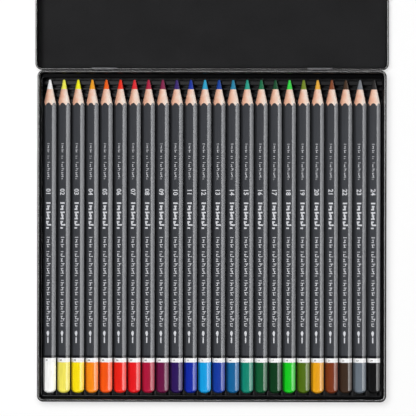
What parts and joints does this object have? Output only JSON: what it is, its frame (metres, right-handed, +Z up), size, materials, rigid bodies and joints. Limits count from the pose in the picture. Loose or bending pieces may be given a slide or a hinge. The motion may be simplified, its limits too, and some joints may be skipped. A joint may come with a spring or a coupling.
{
  "type": "colored pencil tin",
  "caption": "Flat hinged metal tin with a moulded insert that holds a single row of hexagonal coloured pencils.",
  "frame": {"origin": "middle of the tray's underside", "axes": "+X across the row of pencils, +Y from the front edge to the hinge and the opened lid, +Z up"},
  "size_m": [0.199, 0.3758, 0.0123],
  "materials": {
    "tin_lacquer": "smooth black lacquer on tinplate",
    "lid_lacquer": "satin charcoal lacquer on tinplate",
    "insert_plastic": "glossy black thermoformed sheet",
    "pencil_casing": "wood under charcoal lacquer, with a white ring and a coloured dipped end, bare at the sharpened cone",
    "core_01": "waxy coloured core",
    "core_02": "waxy coloured core",
    "core_03": "waxy coloured core",
    "core_04": "waxy coloured core",
    "core_05": "waxy coloured core",
    "core_06": "waxy coloured core",
    "core_07": "waxy coloured core",
    "core_08": "waxy coloured core",
    "core_09": "waxy coloured core",
    "core_10": "waxy coloured core",
    "core_11": "waxy coloured core",
    "core_12": "waxy coloured core",
    "core_13": "waxy coloured core",
    "core_14": "waxy coloured core",
    "core_15": "waxy coloured core",
    "core_16": "waxy coloured core",
    "core_17": "waxy coloured core",
    "core_18": "waxy coloured core",
    "core_19": "waxy coloured core",
    "core_20": "waxy coloured core",
    "core_21": "waxy coloured core",
    "core_22": "waxy coloured core",
    "core_23": "waxy coloured core",
    "core_24": "waxy coloured core"
  },
  "bodies": {
    "tin": {"tray_shell": "tin_lacquer", "pencil_insert": "insert_plastic"},
    "lid": {"lid_shell": "lid_lacquer"},
    "pencil_01": {"pencil_01_casing": "pencil_casing", "pencil_01_core": "core_01"},
    "pencil_02": {"pencil_02_casing": "pencil_casing", "pencil_02_core": "core_02"},
    "pencil_03": {"pencil_03_casing": "pencil_casing", "pencil_03_core": "core_03"},
    "pencil_04": {"pencil_04_casing": "pencil_casing", "pencil_04_core": "core_04"},
    "pencil_05": {"pencil_05_casing": "pencil_casing", "pencil_05_core": "core_05"},
    "pencil_06": {"pencil_06_casing": "pencil_casing", "pencil_06_core": "core_06"},
    "pencil_07": {"pencil_07_casing": "pencil_casing", "pencil_07_core": "core_07"},
    "pencil_08": {"pencil_08_casing": "pencil_casing", "pencil_08_core": "core_08"},
    "pencil_09": {"pencil_09_casing": "pencil_casing", "pencil_09_core": "core_09"},
    "pencil_10": {"pencil_10_casing": "pencil_casing", "pencil_10_core": "core_10"},
    "pencil_11": {"pencil_11_casing": "pencil_casing", "pencil_11_core": "core_11"},
    "pencil_12": {"pencil_12_casing": "pencil_casing", "pencil_12_core": "core_12"},
    "pencil_13": {"pencil_13_casing": "pencil_casing", "pencil_13_core": "core_13"},
    "pencil_14": {"pencil_14_casing": "pencil_casing", "pencil_14_core": "core_14"},
    "pencil_15": {"pencil_15_casing": "pencil_casing", "pencil_15_core": "core_15"},
    "pencil_16": {"pencil_16_casing": "pencil_casing", "pencil_16_core": "core_16"},
    "pencil_17": {"pencil_17_casing": "pencil_casing", "pencil_17_core": "core_17"},
    "pencil_18": {"pencil_18_casing": "pencil_casing", "pencil_18_core": "core_18"},
    "pencil_19": {"pencil_19_casing": "pencil_casing", "pencil_19_core": "core_19"},
    "pencil_20": {"pencil_20_casing": "pencil_casing", "pencil_20_core": "core_20"},
    "pencil_21": {"pencil_21_casing": "pencil_casing", "pencil_21_core": "core_21"},
    "pencil_22": {"pencil_22_casing": "pencil_casing", "pencil_22_core": "core_22"},
    "pencil_23": {"pencil_23_casing": "pencil_casing", "pencil_23_core": "core_23"},
    "pencil_24": {"pencil_24_casing": "pencil_casing", "pencil_24_core": "core_24"}
  },
  "joints": [
    {"name": "lid_hinge", "type": "hinge", "parent": "tin", "child": "lid", "pos_m": [0, 0.09402, 0.0065], "axis": [1, 0, 0], "range_deg": [0, 180]},
    {"name": "pencil_01_lift", "type": "slide", "parent": "tin", "child": "pencil_01", "axis": [0, 0, -1], "range_m": [-0.03, 0]},
    {"name": "pencil_02_lift", "type": "slide", "parent": "tin", "child": "pencil_02", "axis": [0, 0, -1], "range_m": [-0.03, 0]},
    {"name": "pencil_03_lift", "type": "slide", "parent": "tin", "child": "pencil_03", "axis": [0, 0, -1], "range_m": [-0.03, 0]},
    {"name": "pencil_04_lift", "type": "slide", "parent": "tin", "child": "pencil_04", "axis": [0, 0, -1], "range_m": [-0.03, 0]},
    {"name": "pencil_05_lift", "type": "slide", "parent": "tin", "child": "pencil_05", "axis": [0, 0, -1], "range_m": [-0.03, 0]},
    {"name": "pencil_06_lift", "type": "slide", "parent": "tin", "child": "pencil_06", "axis": [0, 0, -1], "range_m": [-0.03, 0]},
    {"name": "pencil_07_lift", "type": "slide", "parent": "tin", "child": "pencil_07", "axis": [0, 0, -1], "range_m": [-0.03, 0]},
    {"name": "pencil_08_lift", "type": "slide", "parent": "tin", "child": "pencil_08", "axis": [0, 0, -1], "range_m": [-0.03, 0]},
    {"name": "pencil_09_lift", "type": "slide", "parent": "tin", "child": "pencil_09", "axis": [0, 0, -1], "range_m": [-0.03, 0]},
    {"name": "pencil_10_lift", "type": "slide", "parent": "tin", "child": "pencil_10", "axis": [0, 0, -1], "range_m": [-0.03, 0]},
    {"name": "pencil_11_lift", "type": "slide", "parent": "tin", "child": "pencil_11", "axis": [0, 0, -1], "range_m": [-0.03, 0]},
    {"name": "pencil_12_lift", "type": "slide", "parent": "tin", "child": "pencil_12", "axis": [0, 0, -1], "range_m": [-0.03, 0]},
    {"name": "pencil_13_lift", "type": "slide", "parent": "tin", "child": "pencil_13", "axis": [0, 0, -1], "range_m": [-0.03, 0]},
    {"name": "pencil_14_lift", "type": "slide", "parent": "tin", "child": "pencil_14", "axis": [0, 0, -1], "range_m": [-0.03, 0]},
    {"name": "pencil_15_lift", "type": "slide", "parent": "tin", "child": "pencil_15", "axis": [0, 0, -1], "range_m": [-0.03, 0]},
    {"name": "pencil_16_lift", "type": "slide", "parent": "tin", "child": "pencil_16", "axis": [0, 0, -1], "range_m": [-0.03, 0]},
    {"name": "pencil_17_lift", "type": "slide", "parent": "tin", "child": "pencil_17", "axis": [0, 0, -1], "range_m": [-0.03, 0]},
    {"name": "pencil_18_lift", "type": "slide", "parent": "tin", "child": "pencil_18", "axis": [0, 0, -1], "range_m": [-0.03, 0]},
    {"name": "pencil_19_lift", "type": "slide", "parent": "tin", "child": "pencil_19", "axis": [0, 0, -1], "range_m": [-0.03, 0]},
    {"name": "pencil_20_lift", "type": "slide", "parent": "tin", "child": "pencil_20", "axis": [0, 0, -1], "range_m": [-0.03, 0]},
    {"name": "pencil_21_lift", "type": "slide", "parent": "tin", "child": "pencil_21", "axis": [0, 0, -1], "range_m": [-0.03, 0]},
    {"name": "pencil_22_lift", "type": "slide", "parent": "tin", "child": "pencil_22", "axis": [0, 0, -1], "range_m": [-0.03, 0]},
    {"name": "pencil_23_lift", "type": "slide", "parent": "tin", "child": "pencil_23", "axis": [0, 0, -1], "range_m": [-0.03, 0]},
    {"name": "pencil_24_lift", "type": "slide", "parent": "tin", "child": "pencil_24", "axis": [0, 0, -1], "range_m": [-0.03, 0]}
  ]
}
